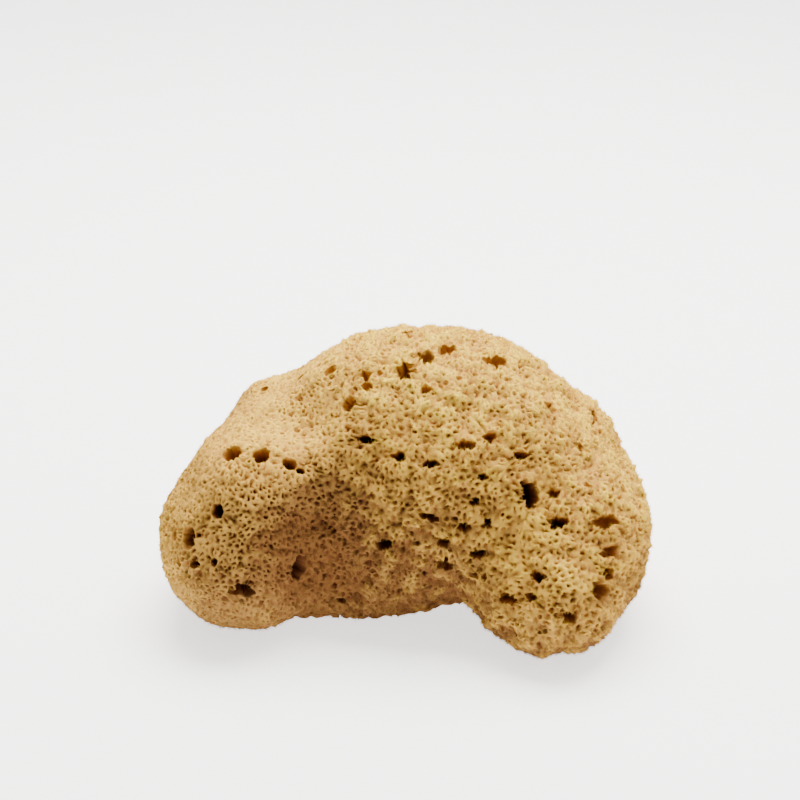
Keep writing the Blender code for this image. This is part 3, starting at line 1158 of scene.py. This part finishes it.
@dataclass(frozen=True)
class Spongin:
    """Dry spongin, cream and gold where it is bleached or light is painted, honey and brown elsewhere and
    where shade is painted, and dark in the pores, partly painted shade.
    """

    name: str
    cream: Colour = (0.85, 0.610, 0.062, 1.0)
    gold: Colour = (0.61, 0.345, 0.056, 1.0)
    honey: Colour = (0.43, 0.238, 0.054, 1.0)
    brown: Colour = (0.20, 0.086, 0.022, 1.0)
    pale_wall: Colour = (0.42, 0.165, 0.042, 1.0)
    # wall and deep darken the pores with depth: partly the browner spongin inside, partly painted shade
    wall: Colour = (0.22, 0.074, 0.026, 1.0)
    deep: Colour = (0.080, 0.028, 0.012, 1.0)
    fade: float = 0.0  # how much paler than the rest this is
    roughness: float = 0.95
    specular: float = 0.1
    sheen: float = 0.0
    sheen_roughness: float = 0.4
    sheen_tint: Colour = (1.0, 0.93, 0.78, 1.0)
    patches: Mottle = Mottle(60.0, 3.0, 0.35, 0.65, 0.5)
    specks: Mottle = Mottle(1100.0, 2.0, 0.3, 0.7, 0.3)
    weave: Mottle = Mottle(4500.0, 2.0, 0.3, 0.7, 0.2)
    browned_by: tuple[float, ...] = (0.6, -0.75, -0.2, 0.5)  # stain, bleach with its painted light and shade, clumps, and what all skin has
    lit_by: tuple[float, ...] = (0.3, 0.28, 0.5, 0.3, -0.4)  # tufts, clumps, patches, specks, and the same
    gold_over: Pair = (0.25, 0.85)  # the light at which gold begins, and at which it is full
    cream_over: Pair = (0.85, 1.65)
    pale_wall_over: Pair = (0.3, 0.9)  # the same, in the bleach field with its painted light and shade
    wall_under: Pair = (0.2, 0.8)  # the same, in the pit mark: the walls darken with depth, partly the browner spongin inside, partly painted shade
    deep_under: Pair = (0.6, 1.15)
    bump: float = 0.9
    bump_height: float = 0.2
    speck_bump: float = 0.5

    @staticmethod
    def _weighed(signals: tuple[Signal, ...], weights: tuple[float, ...]) -> Signal:
        """Signals times their weights, added up, and the last weight, which has none, added to them."""
        return sum(signal * weight for signal, weight in zip(signals, weights)) + weights[-1]

    def build(self) -> Material:
        """Makes the material.

        Returns:
            The material.
        """
        material = bpy.data.materials.new(self.name)
        material.use_nodes = True
        material.node_tree.nodes.clear()
        graph = Graph(material.node_tree)
        place = graph.out("ShaderNodeTexCoord", None, None, "Object")
        mottles = (self.patches, self.specks, self.weave)
        noises = [graph.noise(place, mottle.scale, mottle.detail) for mottle in mottles]
        patches, specks, weave = noises
        stain = sum(mottle.stain(noise) for mottle, noise in zip(mottles, noises))
        pit, bleach, tuft, clump = (graph.carried(name) for name in ("pit", "bleach", "tuft", "clump"))
        # browner where stained and where the bleach field is low, which holds the painted shade patches
        brownness = self._weighed((stain, bleach, clump), self.browned_by)
        skin = graph.mixed(brownness.clamped(), self.honey, self.brown)
        # paler where the bleach field is high, which holds the painted light on top and the pale painted
        # patches
        light = bleach + self._weighed((tuft, clump, patches, specks), self.lit_by) + self.fade
        skin = graph.mixed(light.spread(*self.gold_over), skin, self.gold)
        skin = graph.mixed(light.spread(*self.cream_over), skin, self.cream)
        # the pore walls and floors darken with depth: partly the browner spongin inside, partly painted shade
        lining = graph.mixed(bleach.spread(*self.pale_wall_over), self.wall, self.pale_wall)
        walls = graph.mixed(pit.spread(*self.wall_under), skin, lining)
        colour = graph.mixed(pit.spread(*self.deep_under), walls, self.deep)
        bumps = {"Strength": self.bump, "Distance": self.bump_height * MM,
                 "Height": specks * self.speck_bump + weave}
        shader = graph.out(
            "ShaderNodeBsdfPrincipled",
            None,
            {"Base Color": colour, "Roughness": self.roughness, "Specular IOR Level": self.specular,
             "Sheen Weight": self.sheen, "Sheen Roughness": self.sheen_roughness,
             "Sheen Tint": self.sheen_tint, "Normal": graph.out("ShaderNodeBump", None, bumps, "Normal")},
            "BSDF",
        )
        graph.node("ShaderNodeOutputMaterial", None, {"Surface": shader})
        return material


@dataclass
class Studio:
    """The photograph's camera, the floor and the light."""

    middle: Triple
    distance: float = 465.0
    elevation: float = 30.0
    lens: float = 85.0
    sensor: float = 36.0
    off_axis: Pair = (0.00625, -0.10875)  # where the middle is in the picture, in widths
    floor_glow: float = 1.6
    room_behind: float = 1.8
    room_before: float = 0.0
    brightest: Triple = (0.30, 0.85, 0.43)  # the way to the room's brightest wall
    room_edges: Pair = (-0.4, 0.7)  # where its dark side ends and the bright one begins
    near_clip: float = 10.0
    floor_side: float = 3000.0
    floor_colour: Colour = (0.93, 0.93, 0.92, 1.0)
    floor_roughness: float = 0.9
    lamp: float = 13.0
    lamp_size: Pair = (500.0, 350.0)
    lamp_place: Triple = (50.0, 200.0, 550.0)
    lamp_aim: Triple = (0.0, 0.0, 30.0)
    lamp_colour: Triple = (1.0, 0.97, 0.92)

    def build(self) -> None:
        """Makes all of it."""
        self._camera()
        self._floor()
        self._lights()

    def _camera(self) -> None:
        """Adds the camera, which looks a little over the sponge, as in the photograph."""
        tilt = math.radians(self.elevation)
        back = Vector((0, -math.cos(tilt), math.sin(tilt)))
        across, up = (math.atan(share * self.sensor / self.lens) for share in self.off_axis)
        camera = new_piece("camera", bpy.data.cameras.new("camera"))
        camera.data.lens = self.lens
        camera.data.clip_start = self.near_clip * MM
        camera.location = (Vector(self.middle) + back * self.distance) * MM
        camera.rotation_euler = (math.pi / 2 - tilt - up, 0.0, across / math.cos(tilt))
        bpy.context.scene.camera = camera

    def _floor(self) -> None:
        """Adds a plain pale floor."""
        mesh = bpy.data.meshes.new("floor")
        side = self.floor_side * MM
        corners = [(-side, -side, 0), (side, -side, 0), (side, side, 0), (-side, side, 0)]
        mesh.from_pydata(corners, [], [(0, 1, 2, 3)])
        floor = new_piece("floor", mesh)
        material = bpy.data.materials.new("floor_white")
        material.use_nodes = True
        shader = material.node_tree.nodes["Principled BSDF"]
        looks = {"Base Color": self.floor_colour, "Roughness": self.floor_roughness,
                 "Emission Color": WHITE, "Emission Strength": self.floor_glow}
        for name, value in looks.items():
            shader.inputs[name].default_value = value
        mesh.materials.append(material)

    def _lights(self) -> None:
        """Adds a white room, brighter behind the sponge than before it, and a soft light overhead."""
        world = bpy.data.worlds.new("white_room")
        world.use_nodes = True
        graph = Graph(world.node_tree)
        ways = {0: graph.out("ShaderNodeTexCoord", None, None, "Generated"), 1: self.brightest}
        behind = graph.out("ShaderNodeVectorMath", {"operation": "DOT_PRODUCT"}, ways, "Value")
        span = self.room_behind - self.room_before
        strength = behind.spread(*self.room_edges) * span + self.room_before
        background = world.node_tree.nodes["Background"]
        background.inputs["Color"].default_value = WHITE
        graph.tree.links.new(strength.socket, background.inputs["Strength"])
        bpy.context.scene.world = world
        light = bpy.data.lights.new("overhead", "AREA")
        light.shape = "RECTANGLE"
        light.size, light.size_y = (length * MM for length in self.lamp_size)
        light.energy = self.lamp
        light.color = self.lamp_colour
        overhead = new_piece("overhead", light)
        overhead.location = Vector(self.lamp_place) * MM
        aim = Vector(self.lamp_aim) * MM - overhead.location
        overhead.rotation_euler = aim.to_track_quat("-Z", "Y").to_euler()


def main() -> None:
    """Builds the sponge's pieces in order, and reports each."""
    logging.basicConfig(level=logging.INFO, format="%(message)s")
    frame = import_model()
    solid = bmesh.new()
    solid.from_mesh(frame["nodes"]["sponge"].data)
    bmesh.ops.remove_doubles(solid, verts=solid.verts, dist=WELD)
    solid.verts.index_update()
    corners = np.array([vert.co for vert in solid.verts]) / MM
    edges = np.array([[vert.index for vert in edge.verts] for edge in solid.edges])
    solid.free()

    form = SpongeForm()
    form.lay_over(corners)
    off = np.median(np.abs(form.gap(corners)))
    LOG.info("form shifted by %s mm, skin off by %.3f mm", form.shift.round(3), off)
    canals = CanalSurvey(form, corners, edges).canals()
    LOG.info("%d canals", len(canals))
    cells = PoreCells(form, canals).build()
    LOG.info("%d cells", len(cells.polygons))
    skin = PittedSkin().build(cells, Spongin("spongin_skin").build())
    LOG.info("skin: %d triangles", triangle_count(skin.data))
    pieces = [skin]
    fibre_finish = Spongin("spongin_fibre", fade=0.1, sheen=0.15).build()
    naps = (
        Nap("nap_low", 11, 0.98, (0.3, 0.75), 0.06, 1.1),
        Nap("nap_mid", 12, 0.98, (0.4, 0.95), 0.05, 0.9),
        Nap("nap_high", 13, 0.98, (0.45, 1.0), 0.045, 0.8),
        Nap("nap_curled", 14, 0.26, (0.7, 1.4), 0.05, 1.0, 2, 0.6, on_hem=4.0),
    )
    for nap in naps:
        piece = nap.build(skin, fibre_finish)
        LOG.info("%s: %d triangles", piece.name, triangle_count(piece.data))
        pieces.append(piece)
    for piece in pieces:
        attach(piece, "root")
    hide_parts("sponge")
    Studio(middle=(0.0, float(form.shift[1]), 25.0)).build()


if __name__ == "__main__":
    main()
